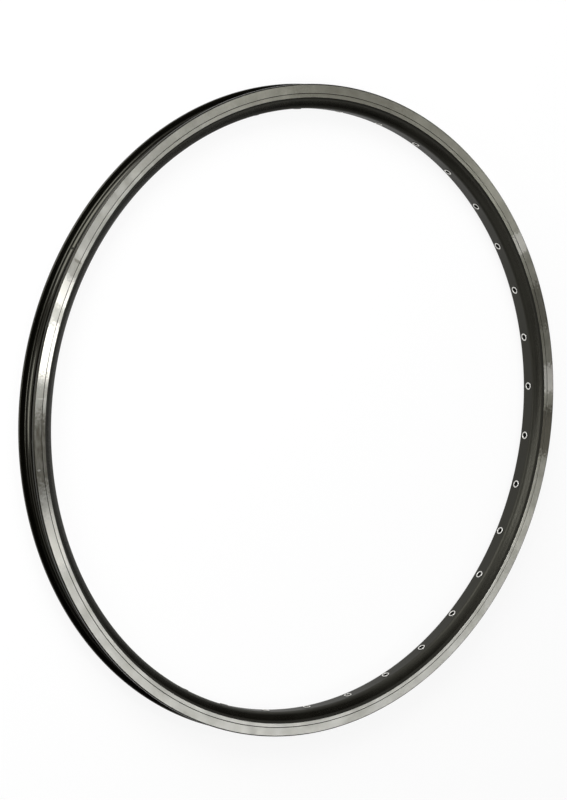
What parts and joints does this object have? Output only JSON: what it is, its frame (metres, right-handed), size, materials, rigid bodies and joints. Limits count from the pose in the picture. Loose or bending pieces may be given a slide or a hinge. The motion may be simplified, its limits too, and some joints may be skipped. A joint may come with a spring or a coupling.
{
  "type": "bicycle rim",
  "caption": "Black double-wall bicycle rim with bare turned brake tracks, a wear line and bright spoke eyelets, for a spoked wheel with rim brakes.",
  "frame": {"origin": "centre of the hoop, on the wheel's axis, midway between the brake tracks", "axes": "+Z along the wheel's axis, up as the rim lies flat; +X from the centre to the valve hole"},
  "size_m": [0.5713, 0.5714, 0.024],
  "materials": {
    "anodised_hoop": "black anodised, satin; brake tracks turned to bare metal",
    "eyelet_metal": "bright plated"
  },
  "bodies": {
    "root": {"rim_hoop": "anodised_hoop", "spoke_eyelets": "eyelet_metal"}
  },
  "joints": []
}
